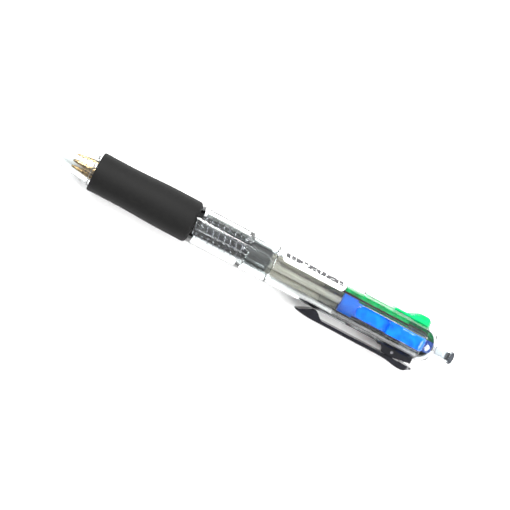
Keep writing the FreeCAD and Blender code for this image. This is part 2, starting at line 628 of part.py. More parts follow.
# ---- clip -----------------------------------------------------------------------------
def clip():
    """Black clip: a long arm with a pad on the barrel, a thumb hump, and a hinge lug."""
    inner = CLIP_INNER_RADIUS
    outer = CLIP_OUTER_RADIUS
    top = outer + CLIP_HUMP_RISE
    touch = BARREL_RADIUS + CLIP_PAD_GAP
    pad_end = CLIP_PAD_START + CLIP_PAD_LENGTH
    smooth = [
        ring_point(outer - 0.9, CLIP_START),
        ring_point(outer - 0.4, CLIP_START + 2.5),
        ring_point(outer - 0.1, CLIP_START + 10),
        ring_point(outer, CLIP_START + 22),
        ring_point(outer + 0.05, KNOB_CREST_START - 5),
        ring_point(outer + 0.25, KNOB_CREST_START - 2.6),
        ring_point(top - 0.15, KNOB_CREST_START),
        ring_point(top, KNOB_CREST_START + 2.4),
        ring_point(top - 0.25, KNOB_CREST_START + KNOB_CREST_LENGTH),
        ring_point(outer, CLIP_END - 1.5),
        ring_point(outer - 0.5, CLIP_END),
    ]
    arm = smooth_plate(smooth, [
        ring_point(inner + 0.25, CLIP_END),
        ring_point(inner, CLIP_END - 2.0),
        ring_point(inner, pad_end + 1.6),
        ring_point(inner - 0.3, pad_end + 0.9),
        ring_point(touch + 0.3, pad_end - 1.0),
        ring_point(touch, pad_end - 1.7),
        ring_point(touch, pad_end - 2.4),
        ring_point(touch + 0.35, pad_end - 3.4),
        ring_point(inner - 0.15, CLIP_START + 1.0),
        ring_point(inner, CLIP_START),
    ], CLIP_WIDTH)
    arm = round_top(arm, EDGE_ROUND).common(clip_outline())
    lug_block = block(PIN_OFFSET, inner + 0.2, LUG_WIDTH, PIN_HEIGHT - LUG_RADIUS, PIN_HEIGHT + LUG_RADIUS)
    lug_disc = Part.makeCylinder(LUG_RADIUS, LUG_WIDTH, Vector(PIN_OFFSET, -LUG_WIDTH / 2, PIN_HEIGHT),
                                 Vector(0, 1, 0))
    return arm.fuse([lug_block, lug_disc]).cut(cross_pin(PIN_RADIUS + CONTACT)).removeSplitter()


def clip_outline():
    """The clip seen from outside: a long bar with rounded corners, to trim its arm with."""
    bar = block(BARREL_RADIUS - 1, CLIP_OUTER_RADIUS + CLIP_HUMP_RISE + 1, CLIP_WIDTH, CLIP_START, CLIP_END)
    return round_edges(bar, CLIP_CORNER, lambda edge: edge.BoundBox.XLength > 1)


def clip_pin():
    """Steel pin of the clip's hinge."""
    return cross_pin(PIN_RADIUS)


def clip_spring():
    """Short coil spring between the clip's lever and the black slider."""
    length = CLIP_INNER_RADIUS - CLIP_SPRING_FLOOR - 2 * CONTACT
    spring = coil(CLIP_SPRING_RADIUS, CLIP_SPRING_WIRE, 0, length, CLIP_SPRING_TURNS)
    spring.Placement = Placement(Vector(CLIP_SPRING_FLOOR + CONTACT, 0, CLIP_SPRING_HEIGHT),
                                 Rotation(Vector(0, 1, 0), 90))
    return spring


# ---- refills --------------------------------------------------------------------------
def leaned(shape):
    """Leans the front half of a refill towards the nose, about the place where it bends."""
    copy = shape.copy()
    copy.rotate(Vector(REFILL_OFFSET, 0, FLEX_HEIGHT), Vector(0, 1, 0), math.degrees(REST_LEAN))
    return copy


def refill_tip():
    """Metal writing tip with its ball, drawn back behind the nose."""
    low = TIP_REST_HEIGHT
    ball_centre = low + BALL_RADIUS
    body = turned([
        ring_point(0, ball_centre + BALL_RADIUS * 0.5),
        ring_point(BALL_RADIUS * 1.1, ball_centre + BALL_RADIUS * 0.5),
        ring_point(TIP_CONE_RADIUS, low + TIP_CONE_LENGTH),
        ring_point(TIP_RADIUS, low + TIP_SHOULDER_HEIGHT),
        ring_point(TIP_RADIUS, low + TIP_LENGTH - CONTACT),
        ring_point(TUBE_BORE_RADIUS, low + TIP_LENGTH - CONTACT),
        ring_point(TUBE_BORE_RADIUS, low + TIP_LENGTH + TIP_SHANK_LENGTH),
        ring_point(0, low + TIP_LENGTH + TIP_SHANK_LENGTH),
    ])
    ball = Part.makeSphere(BALL_RADIUS, Vector(0, 0, ball_centre))
    tip = body.fuse(ball).removeSplitter()
    tip.translate(Vector(REFILL_OFFSET, 0, 0))
    return leaned(tip)


def pipe(start, end):
    """A stretch of refill tube, upright."""
    outside = rod(TUBE_RADIUS, start, end, REFILL_OFFSET)
    return outside.cut(rod(TUBE_BORE_RADIUS, start - 1, end + 1, REFILL_OFFSET))


def refill_tube_front():
    """Front stretch of a refill tube, which bends towards the nose as the tip comes out."""
    return leaned(pipe(TIP_REST_HEIGHT + TIP_LENGTH, FLEX_HEIGHT - FLEX_GAP))


def refill_tube_rear():
    """Rear stretch of a refill tube, with the pinched ears that the spring pushes on."""
    tube = pipe(FLEX_HEIGHT + FLEX_GAP, REFILL_END)
    reach = TUBE_RADIUS + EAR_RISE
    ears = Part.makeBox(EAR_WIDTH, 2 * reach, EAR_LENGTH,
                        Vector(REFILL_OFFSET - EAR_WIDTH / 2, -reach, EAR_HEIGHT))
    ears = ears.cut(rod(TUBE_BORE_RADIUS + 0.1, EAR_HEIGHT - 1, EAR_HEIGHT + EAR_LENGTH + 1, REFILL_OFFSET))
    return tube.fuse(ears).removeSplitter()


def ink_front():
    """Ink in the front stretch of a refill."""
    start = TIP_REST_HEIGHT + TIP_LENGTH + TIP_SHANK_LENGTH
    return leaned(rod(TUBE_BORE_RADIUS, start, FLEX_HEIGHT - FLEX_GAP, REFILL_OFFSET))


def ink_rear():
    """Ink in the rear stretch of a refill, up to the level of a new one."""
    return rod(TUBE_BORE_RADIUS, FLEX_HEIGHT + FLEX_GAP, INK_LEVEL, REFILL_OFFSET)


def return_spring():
    """Coil spring round a refill, between the seat and the refill's ears."""
    spring = coil(SPRING_MEAN_RADIUS, WIRE_RADIUS, SPRING_START + CONTACT, EAR_HEIGHT - CONTACT,
                  SPRING_TURNS)
    spring.translate(Vector(REFILL_OFFSET, 0, 0))
    return spring


# ---- stickers -------------------------------------------------------------------------
def sticker(start, length, width, corner):
    """A sticker of that size, wrapped round a barrel and centred on the X axis."""
    arc = math.degrees(width / BARREL_RADIUS)
    inner = BARREL_RADIUS + 0.5 * CONTACT
    end = start + length
    sleeve = rod(inner + STICKER_THICKNESS, start, end).cut(rod(inner, start - 1, end + 1))
    chord = 2 * inner * math.sin(math.radians(arc / 2))
    stencil = block(0, BARREL_RADIUS + 2, chord, start, end)
    stencil = round_edges(stencil, corner, lambda edge: edge.BoundBox.XLength > BARREL_RADIUS)
    return sleeve.common(stencil)


def label():
    """White sticker on the rear barrel, in front of the green slider."""
    return at_angle(sticker(LABEL_START, LABEL_LENGTH, LABEL_WIDTH, 1.5), LABEL_ANGLE)


def price_label():
    """Small white sticker on the front barrel."""
    narrow = sticker(PRICE_LABEL_START, PRICE_LABEL_LENGTH, PRICE_LABEL_WIDTH, 0.6)
    return at_angle(narrow, PRICE_LABEL_ANGLE)


# ---- assembly -------------------------------------------------------------------------
def pieces():
    """Every piece by its name, still upright."""
    made = {
        "front_barrel": front_barrel(),
        "rubber_grip": rubber_grip(),
        "rear_barrel": rear_barrel(),
        "spring_seat": spring_seat(),
        "refill_guide": refill_guide(),
        "slider_core": slider_core(),
        "crown": crown(),
        "crown_plug": crown_plug(),
        "label": label(),
        "price_label": price_label(),
    }
    per_colour = {
        "refill_tip": refill_tip(),
        "refill_tube_front": refill_tube_front(),
        "refill_tube_rear": refill_tube_rear(),
        "ink_front": ink_front(),
        "ink_rear": ink_rear(),
        "return_spring": return_spring(),
    }
    plain = colour_slider()
    for colour, angle in COLOUR_ANGLES.items():
        for name, shape in per_colour.items():
            made[f"{name}_{colour}"] = at_angle(shape, angle)
        slider = clip_slider() if colour == "black" else plain
        made[f"slider_{colour}"] = at_angle(slider, angle)
    for name, shape in {"clip": clip(), "clip_pin": clip_pin(), "clip_spring": clip_spring()}.items():
        made[name] = at_angle(shape, COLOUR_ANGLES["black"])
    return made


def lying_down(shapes):
    """The placement that lays the upright pen on the table, centred over the origin."""
    upright_to_x = Rotation(Vector(1, 1, 1), 120)
    turn = (Rotation(Vector(0, 1, 0), -PITCH)
            .multiply(Rotation(Vector(1, 0, 0), ROLL))
            .multiply(upright_to_x))
    laid = Placement(Vector(0, 0, 0), turn)
    box = FreeCAD.BoundBox()
    for shape in shapes:
        copy = shape.copy()
        copy.Placement = laid.multiply(copy.Placement)
        box.add(copy.optimalBoundingBox(False))
    laid.Base = Vector(-box.Center.x, -box.Center.y, -box.ZMin)
    return laid


def main():
    """Builds every piece and writes one STEP file for each."""
    os.makedirs("parts", exist_ok=True)
    made = pieces()
    laid = lying_down(made[name] for name in
                      ("front_barrel", "rubber_grip", "crown_plug", "crown", "clip",
                       "slider_red", "slider_green", "slider_blue", "slider_black"))
    for name, shape in made.items():
        shape.Placement = laid.multiply(shape.Placement)
        if not shape.isValid() or shape.Volume <= 0:
            raise ValueError(f"{name} is not a valid solid")
        shape.exportStep(f"parts/{name}.step")


if __name__ == "__main__":
    main()
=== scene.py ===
"""Looks of a four-colour click pen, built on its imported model.

Heights are millimetres along the pen's own axis from the writing end, and radii are
millimetres from that axis. PenFrame turns both into places in the shared frame.
"""

import json
import logging
import math
from dataclasses import dataclass
from enum import Enum

import bpy
from mathutils import Matrix, Vector


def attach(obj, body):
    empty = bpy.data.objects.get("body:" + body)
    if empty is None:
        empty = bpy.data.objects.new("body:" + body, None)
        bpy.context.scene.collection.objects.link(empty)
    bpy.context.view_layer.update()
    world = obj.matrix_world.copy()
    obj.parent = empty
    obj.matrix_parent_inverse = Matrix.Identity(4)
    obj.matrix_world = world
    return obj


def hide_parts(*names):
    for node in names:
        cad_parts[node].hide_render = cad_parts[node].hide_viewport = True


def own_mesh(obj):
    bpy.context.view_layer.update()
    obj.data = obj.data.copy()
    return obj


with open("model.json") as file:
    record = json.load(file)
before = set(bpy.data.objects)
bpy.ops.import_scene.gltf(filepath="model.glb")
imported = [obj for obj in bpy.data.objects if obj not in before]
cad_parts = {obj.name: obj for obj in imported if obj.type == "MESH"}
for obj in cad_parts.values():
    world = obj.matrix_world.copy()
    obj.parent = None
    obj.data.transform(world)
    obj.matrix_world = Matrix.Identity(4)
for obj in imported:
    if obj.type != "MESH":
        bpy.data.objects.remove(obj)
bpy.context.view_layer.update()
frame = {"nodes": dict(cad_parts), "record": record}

MM = 0.001
LAND_HEIGHT = 45.7             # the middle of the grip's straight stretch, where its mount is
PEN_MIDDLE = 73.5              # half the pen's length
MERGE_DISTANCE = 0.002         # corners nearer than this are one
PICTURE_WIDTH = 510
WAVE_FACTOR = 20               # what the wave texture multiplies its scale by
WHITE = "ffffff"

log = logging.getLogger("pen")


class InkColour(Enum):
    """The four ink colours, in the order in which their sliders stand round the barrel."""

    GREEN = "green"
    BLUE = "blue"
    BLACK = "black"
    RED = "red"

    @property
    def angle(self) -> float:
        """Where the slider stands, as an angle in radians round the axis."""
        return list(InkColour).index(self) * math.pi / 2


class Axis(Enum):
    """The pen's own directions: out to the green slider, out to the blue one, and along."""

    GREEN_SIDE = 0
    BLUE_SIDE = 1
    ALONG = 2


# ---- where things are -----------------------------------------------------------------
@dataclass(frozen=True)
class PenFrame:
    """The upright pen's place in the shared frame.

    Attributes:
        matrix: Takes a point of the upright pen, in metres, to the shared frame.
    """

    matrix: Matrix

    @classmethod
    def from_record(cls, record: dict) -> "PenFrame":
        """Works the pen's place out from a mount and a joint of its record.

        Args:
            record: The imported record.

        Returns:
            The pen's frame.
        """
        land = next(mount for mount in record["mounts"] if mount["name"] == "grip_land")
        bend = next(joint for joint in record["behaviour"]["joints"]
                    if joint["name"] == "green_flex")
        along = -Vector(land["axis"]).normalized()
        blue_side = Vector(bend["axis"]).normalized()
        green_side = blue_side.cross(along).normalized()
        start = Vector(land["pos_m"]) - along * LAND_HEIGHT * MM
        matrix = Matrix((green_side, along.cross(green_side), along)).transposed().to_4x4()
        matrix.translation = start
        return cls(matrix)

    def direction(self, axis: Axis) -> Vector:
        """One of the pen's own directions in the shared frame."""
        return self.matrix.to_3x3().col[axis.value].copy()

    def point(self, height: float, radius: float = 0.0, angle: float = 0.0) -> Vector:
        """A place on the pen in the shared frame, from millimetres and radians.

        Args:
            height: How far along the axis it is.
            radius: How far from the axis it is.
            angle: Where round the axis it is.

        Returns:
            The place in metres.
        """
        upright = Vector((radius * math.cos(angle), radius * math.sin(angle), height))
        return self.matrix @ (upright * MM)

    def extent(self, node: str) -> tuple[float, float, float, float]:
        """How far a CAD node reaches along the axis and out from it.

        Args:
            node: The node's name.

        Returns:
            Its start and end along the axis, and its least and greatest radius, in millimetres.
        """
        back = self.matrix.inverted()
        places = [back @ vertex.co for vertex in frame["nodes"][node].data.vertices]
        heights = [place.z / MM for place in places]
        radii = [math.hypot(place.x, place.y) / MM for place in places]
        return min(heights), max(heights), min(radii), max(radii)

    def lay(self, piece: bpy.types.Object, angle: float = 0.0) -> None:
        """Moves an upright piece's mesh to its place, turned round the axis by an angle."""
        piece.data.transform(self.matrix @ Matrix.Rotation(angle, 4, "Z"))
        piece.data.update()


# ---- modelling helpers ----------------------------------------------------------------
def deselect_all() -> None:
    """Leaves nothing selected."""
    bpy.ops.object.select_all(action="DESELECT")


def lathe(name: str, profile: list[tuple[float, float]], sides: int) -> bpy.types.Object:
    """Turns a closed profile about the upright axis, by extruding one ring from point to point.

    Args:
        name: The new piece's name.
        profile: Radius and height of each corner, in millimetres, anticlockwise.
        sides: How many flats the ring has.

    Returns:
        The upright piece.
    """
    deselect_all()
    radius, height = profile[0]
    bpy.ops.mesh.primitive_circle_add(vertices=sides, radius=radius * MM,
                                      location=(0, 0, height * MM))
    piece = bpy.context.object
    piece.name = name
    bpy.ops.object.transform_apply(location=True, rotation=True, scale=True)
    bpy.ops.object.mode_set(mode="EDIT")
    bpy.ops.mesh.select_all(action="SELECT")
    for here, there in zip(profile, profile[1:] + profile[:1]):
        rise = (there[1] - here[1]) * MM
        growth = there[0] / here[0]
        bpy.ops.mesh.extrude_edges_move(TRANSFORM_OT_translate={"value": (0, 0, rise)})
        bpy.ops.transform.resize(value=(growth, growth, 1))
    close_up()
    bpy.ops.object.mode_set(mode="OBJECT")
    return piece


def close_up() -> None:
    """Merges the doubles of the mesh in edit mode, fills its open ends and turns its faces out."""
    bpy.ops.mesh.select_all(action="SELECT")
    bpy.ops.mesh.remove_doubles(threshold=MERGE_DISTANCE * MM)
    bpy.ops.mesh.fill_holes(sides=0)
    bpy.ops.mesh.select_all(action="SELECT")
    bpy.ops.mesh.normals_make_consistent(inside=False)


def smooth(piece: bpy.types.Object, angle: float) -> None:
    """Shades a piece smooth, except over edges sharper than an angle in degrees."""
    deselect_all()
    piece.select_set(True)
    bpy.context.view_layer.objects.active = piece
    bpy.ops.object.shade_smooth_by_angle(angle=math.radians(angle))


def quarter_turn(steps: int) -> list[float]:
    """Angles over a quarter turn, without its start, in radians."""
    return [math.pi / 2 * step / steps for step in range(1, steps + 1)]


def own_copy(piece: bpy.types.Object, name: str) -> bpy.types.Object:
    """A copy of a piece with its own mesh."""
    copy = piece.copy()
    copy.data = piece.data.copy()
    copy.name = name
    bpy.context.collection.objects.link(copy)
    return copy


# ---- materials ------------------------------------------------------------------------
def linear(colour: str) -> tuple[float, float, float, float]:
    """Turns an sRGB hex colour into a linear one.

    Args:
        colour: Six hex digits.

    Returns:
        Linear red, green, blue and an alpha of 1.
    """
    channels = [int(colour[at:at + 2], 16) / 255 for at in (0, 2, 4)]
    bent = [c / 12.92 if c <= 0.04045 else ((c + 0.055) / 1.055) ** 2.4 for c in channels]
    return bent[0], bent[1], bent[2], 1.0


def per_metre(size: float) -> float:
    """The texture scale at which one feature of a pattern is a size in millimetres."""
    return 1 / (size * MM)


def add_node(tree: bpy.types.NodeTree, kind: str, inputs: dict | None = None,
             **settings: object) -> bpy.types.Node:
    """Adds a node with its settings, values and links.

    Args:
        tree: The node tree.
        kind: The node's type.
        inputs: A value or an output socket for each input, by its name or number.
        settings: The node's own properties.

    Returns:
        The node.
    """
    node = tree.nodes.new(kind)
    for name, value in settings.items():
        setattr(node, name, value)
    for name, value in (inputs or {}).items():
        if isinstance(value, bpy.types.NodeSocket):
            tree.links.new(value, node.inputs[name])
        else:
            node.inputs[name].default_value = value
    return node


def ramp(tree: bpy.types.NodeTree, factor: bpy.types.NodeSocket,
         stops: list[tuple[float, tuple[float, float, float, float]]]) -> bpy.types.NodeSocket:
    """Colours a factor through stops.

    Args:
        tree: The node tree.
        factor: The output socket to colour.
        stops: Place and colour of each stop, in order.

    Returns:
        The colour's output socket.
    """
    node = add_node(tree, "ShaderNodeValToRGB", {"Fac": factor})
    elements = node.color_ramp.elements
    elements[0].position, elements[0].color = stops[0]
    elements[1].position, elements[1].color = stops[-1]
    for place, colour in stops[1:-1]:
        elements.new(place).color = colour
    return node.outputs["Color"]


def grey(value: float) -> tuple[float, float, float, float]:
    """A grey of that linear value."""
    return value, value, value, 1.0


@dataclass(frozen=True)
class Finish:
    """What every finish shares: a name, two tones that its pattern moves between, and gloss.

    Attributes:
        name: The material's name.
        pen: The pen's frame, for patterns that follow its axis.
        tone: Main colour, sRGB hex.
        shade: Second colour, sRGB hex.
        gloss: Least and greatest roughness.
    """

    name: str
    pen: PenFrame
    tone: str
    shade: str
    gloss: tuple[float, float]

    def build(self) -> bpy.types.Material:
        """Makes the material, in the way of the finish's own class."""
        raise NotImplementedError

    def blank(self) -> tuple[bpy.types.Material, bpy.types.NodeTree, bpy.types.Node]:
        """A new material, its tree and its shader."""
        material = bpy.data.materials.new(self.name)
        material.use_nodes = True
        tree = material.node_tree
        return material, tree, tree.nodes["Principled BSDF"]

    def upright(self, tree: bpy.types.NodeTree, stretch: tuple[float, float, float] = (1, 1, 1)
                ) -> bpy.types.NodeSocket:
        """Object coordinates turned to the upright pen.

        Args:
            tree: The node tree.
            stretch: Scale on the green side, on the blue side and along the axis.

        Returns:
            The coordinates' output socket.
        """
        place = add_node(tree, "ShaderNodeTexCoord")
        back = self.pen.matrix.inverted()
        turned = add_node(tree, "ShaderNodeMapping",
                          {"Vector": place.outputs["Object"], "Location": back.translation,
                           "Rotation": back.to_euler()})
        return add_node(tree, "ShaderNodeMapping",
                        {"Vector": turned.outputs["Vector"], "Scale": stretch}).outputs["Vector"]

    def tint(self, tree: bpy.types.NodeTree, factor: bpy.types.NodeSocket,
             span: tuple[float, float]) -> bpy.types.NodeSocket:
        """Colour that a factor moves from the tone to the shade over its span."""
        return ramp(tree, factor, [(span[0], linear(self.tone)), (span[1], linear(self.shade))])

    def rough(self, tree: bpy.types.NodeTree, factor: bpy.types.NodeSocket
              ) -> bpy.types.NodeSocket:
        """Roughness that a factor moves between the two ends of the gloss."""
        node = add_node(tree, "ShaderNodeMapRange",
                        {"Value": factor, "To Min": self.gloss[0], "To Max": self.gloss[1]})
        return node.outputs["Result"]

    def bump(self, tree: bpy.types.NodeTree, height: bpy.types.NodeSocket, depth: float
             ) -> bpy.types.NodeSocket:
        """A bump from a height, of a depth in millimetres."""
        node = add_node(tree, "ShaderNodeBump",
                        {"Height": height, "Strength": 1.0, "Distance": depth * MM})
        return node.outputs["Normal"]


@dataclass(frozen=True)
class ClearStyrene(Finish):
    """Injection-moulded clear styrene: glassy, with soft flow lines and hair scratches."""

    flow_length: float = 14.0
    flow_width: float = 2.5
    scratch_width: float = 0.35
    flow_span: tuple[float, float] = (0.35, 0.75)
    flow_depth: float = 0.05
    ior: float = 1.57

    def build(self) -> bpy.types.Material:
        """Makes the material: sharp highlights, grey edges and a faint cool body."""
        material, tree, shader = self.blank()
        flow = add_node(tree, "ShaderNodeTexNoise",
                        {"Vector": self.upright(tree, (per_metre(self.flow_width),
                                                       per_metre(self.flow_width),
                                                       per_metre(self.flow_length))),
                         "Scale": 1.0, "Detail": 2.0})
        hair = add_node(tree, "ShaderNodeTexNoise",
                        {"Vector": self.upright(tree, (per_metre(self.scratch_width),
                                                       per_metre(self.scratch_width),
                                                       per_metre(self.flow_length))),
                         "Scale": 1.0, "Detail": 4.0})
        body = self.tint(tree, flow.outputs["Fac"], self.flow_span)
        tree.links.new(body, shader.inputs["Base Color"])
        tree.links.new(self.rough(tree, hair.outputs["Fac"]), shader.inputs["Roughness"])
        tree.links.new(self.bump(tree, flow.outputs["Fac"], self.flow_depth),
                       shader.inputs["Normal"])
        shader.inputs["Transmission Weight"].default_value = 1.0
        shader.inputs["IOR"].default_value = self.ior
        return material


@dataclass(frozen=True)
class TintedStyrene(Finish):
    """Moulded, dyed styrene: the light that gets in makes the colour glow at thin places."""

    swirl: float = 3.0
    grain: float = 0.25
    clearness: float = 0.25
    swirl_span: tuple[float, float] = (0.3, 0.7)
    grain_depth: float = 0.004
    ior: float = 1.55
    specular: float = 0.35

    def build(self) -> bpy.types.Material:
        """Makes the material: a strong dye, slight swirls, and a fine satin grain in the gloss."""
        material, tree, shader = self.blank()
        place = self.upright(tree)
        swirl = add_node(tree, "ShaderNodeTexNoise",
                         {"Vector": place, "Scale": per_metre(self.swirl), "Detail": 3.0,
                          "Distortion": 0.6})
        grain = add_node(tree, "ShaderNodeTexNoise",
                         {"Vector": place, "Scale": per_metre(self.grain), "Detail": 2.0})
        dye = self.tint(tree, swirl.outputs["Fac"], self.swirl_span)
        tree.links.new(dye, shader.inputs["Base Color"])
        tree.links.new(self.rough(tree, grain.outputs["Fac"]), shader.inputs["Roughness"])
        tree.links.new(self.bump(tree, grain.outputs["Fac"], self.grain_depth),
                       shader.inputs["Normal"])
        shader.inputs["Transmission Weight"].default_value = self.clearness
        shader.inputs["IOR"].default_value = self.ior
        shader.inputs["Specular IOR Level"].default_value = self.specular
        return material


@dataclass(frozen=True)
class MouldedPlastic(Finish):
    """Opaque moulded plastic with a fine grain and paler rubbed places."""

    grain: float = 0.3
    rub: float = 4.0
    clearness: float = 0.0
    rub_span: tuple[float, float] = (0.42, 0.78)
    grain_depth: float = 0.004
    ior: float = 1.5

    def build(self) -> bpy.types.Material:
        """Makes the material: an even colour that is rubbed a little paler in patches."""
        material, tree, shader = self.blank()
        place = self.upright(tree)
        grain = add_node(tree, "ShaderNodeTexNoise",
                         {"Vector": place, "Scale": per_metre(self.grain), "Detail": 3.0})
        rub = add_node(tree, "ShaderNodeTexNoise",
                       {"Vector": place, "Scale": per_metre(self.rub), "Detail": 4.0,
                        "Roughness": 0.6})
        body = self.tint(tree, rub.outputs["Fac"], self.rub_span)
        tree.links.new(body, shader.inputs["Base Color"])
        tree.links.new(self.rough(tree, rub.outputs["Fac"]), shader.inputs["Roughness"])
        tree.links.new(self.bump(tree, grain.outputs["Fac"], self.grain_depth),
                       shader.inputs["Normal"])
        shader.inputs["Transmission Weight"].default_value = self.clearness
        shader.inputs["IOR"].default_value = self.ior
        return material


@dataclass(frozen=True)
class GripRubber(Finish):
    """Moulded soft rubber: nearly black, matt, with a pebbled skin and a little dust."""

    pebble: float = 0.35
    dust: float = 1.6
    dust_span: tuple[float, float] = (0.45, 0.80)
    pebble_depth: float = 0.02
    specular: float = 0.22

    def build(self) -> bpy.types.Material:
        """Makes the material: broad dull highlights, a pebbled skin and pale specks of dust."""
        material, tree, shader = self.blank()
        place = self.upright(tree)
        pebble = add_node(tree, "ShaderNodeTexVoronoi",
                          {"Vector": place, "Scale": per_metre(self.pebble)}, feature="SMOOTH_F1")
        specks = add_node(tree, "ShaderNodeTexNoise",
                          {"Vector": place, "Scale": per_metre(self.dust), "Detail": 8.0,
                          "Roughness": 0.7})
        body = self.tint(tree, specks.outputs["Fac"], self.dust_span)
        tree.links.new(body, shader.inputs["Base Color"])
        tree.links.new(self.rough(tree, specks.outputs["Fac"]), shader.inputs["Roughness"])
        tree.links.new(self.bump(tree, pebble.outputs["Distance"], self.pebble_depth),
                       shader.inputs["Normal"])
        shader.inputs["Specular IOR Level"].default_value = self.specular
        return material


@dataclass(frozen=True)
class TurnedMetal(Finish):
    """Drawn or turned metal: fine rings round the axis, and tarnish in patches."""

    ring: float = 0.4              # spacing of the rings over 2 pi
    tarnish: float = 1.8
    ring_depth: float = 0.01
    tarnish_span: tuple[float, float] = (0.35, 0.70)

    def build(self) -> bpy.types.Material:
        """Makes the material: bright metal, with dull rings and darker tarnished patches."""
        material, tree, shader = self.blank()
        rings = add_node(tree, "ShaderNodeTexWave",
                         {"Vector": self.upright(tree), "Scale": per_metre(self.ring) / WAVE_FACTOR,
                          "Distortion": 1.5, "Detail": 2.0}, bands_direction="Z")
        tarnish = add_node(tree, "ShaderNodeTexNoise",
                           {"Vector": self.upright(tree), "Scale": per_metre(self.tarnish),
                            "Detail": 5.0})
        body = self.tint(tree, tarnish.outputs["Fac"], self.tarnish_span)
        tree.links.new(body, shader.inputs["Base Color"])
        tree.links.new(self.rough(tree, rings.outputs["Fac"]), shader.inputs["Roughness"])
        tree.links.new(self.bump(tree, rings.outputs["Fac"], self.ring_depth),
                       shader.inputs["Normal"])
        shader.inputs["Metallic"].default_value = 1.0
        return material


@dataclass(frozen=True)
class ExtrudedTube(Finish):
    """Extruded polypropylene tube: milky, with long die lines."""

    line_width: float = 0.3
    line_length: float = 25.0
    ink_level: float = 78.5        # above it the empty tube is cloudy with dried ink and air
    level_blur: float = 0.5
    line_span: tuple[float, float] = (0.35, 0.70)
    line_depth: float = 0.01
    clearness: tuple[float, float] = (1.0, 0.55)    # over the ink, and where the tube is empty
    ior: float = 1.38

    def build(self) -> bpy.types.Material:
        """Makes the material: a cloudy clear skin with long pale streaks."""
        material, tree, shader = self.blank()
        lines = add_node(tree, "ShaderNodeTexNoise",
                         {"Vector": self.upright(tree, (per_metre(self.line_width),
                                                        per_metre(self.line_width),
                                                        per_metre(self.line_length))),
                          "Scale": 1.0, "Detail": 3.0})
        height = add_node(tree, "ShaderNodeSeparateXYZ",
                          {"Vector": self.upright(tree)}).outputs["Z"]
        emptied = add_node(tree, "ShaderNodeMapRange",
                           {"Value": height,
                            "From Min": (self.ink_level - self.level_blur) * MM,
                            "From Max": (self.ink_level + self.level_blur) * MM}).outputs["Result"]
        streaks = self.tint(tree, lines.outputs["Fac"], self.line_span)
        body = add_node(tree, "ShaderNodeMix",
                        {"Factor": emptied, "A": linear(WHITE), "B": streaks}, data_type="RGBA")
        tree.links.new(body.outputs["Result"], shader.inputs["Base Color"])
        cloud = add_node(tree, "ShaderNodeMath",
                         {0: emptied, 1: self.rough(tree, lines.outputs["Fac"])},
                         operation="MULTIPLY")
        tree.links.new(cloud.outputs[0], shader.inputs["Roughness"])
        tree.links.new(self.bump(tree, lines.outputs["Fac"], self.line_depth),
                       shader.inputs["Normal"])
        clearness = add_node(tree, "ShaderNodeMapRange",
                             {"Value": emptied, "To Min": self.clearness[0],
                              "To Max": self.clearness[1]})
        tree.links.new(clearness.outputs["Result"], shader.inputs["Transmission Weight"])
        shader.inputs["IOR"].default_value = self.ior
        return material


@dataclass(frozen=True)
class Ink(Finish):
    """Ballpoint ink paste: thick, dark and glossy, thinner in streaks along the tube."""

    streak_width: float = 0.5
    streak_length: float = 6.0
    streak_span: tuple[float, float] = (0.45, 0.75)
    ior: float = 1.5

    def build(self) -> bpy.types.Material:
        """Makes the material: a near-black gloss with slightly lighter streaks of its colour."""
        material, tree, shader = self.blank()
        streaks = add_node(tree, "ShaderNodeTexNoise",
                           {"Vector": self.upright(tree, (per_metre(self.streak_width),
                                                          per_metre(self.streak_width),
                                                          per_metre(self.streak_length))),
                            "Scale": 1.0, "Detail": 3.0, "Distortion": 0.4})
        body = self.tint(tree, streaks.outputs["Fac"], self.streak_span)
        tree.links.new(body, shader.inputs["Base Color"])
        tree.links.new(self.rough(tree, streaks.outputs["Fac"]), shader.inputs["Roughness"])
        shader.inputs["IOR"].default_value = self.ior
        return material


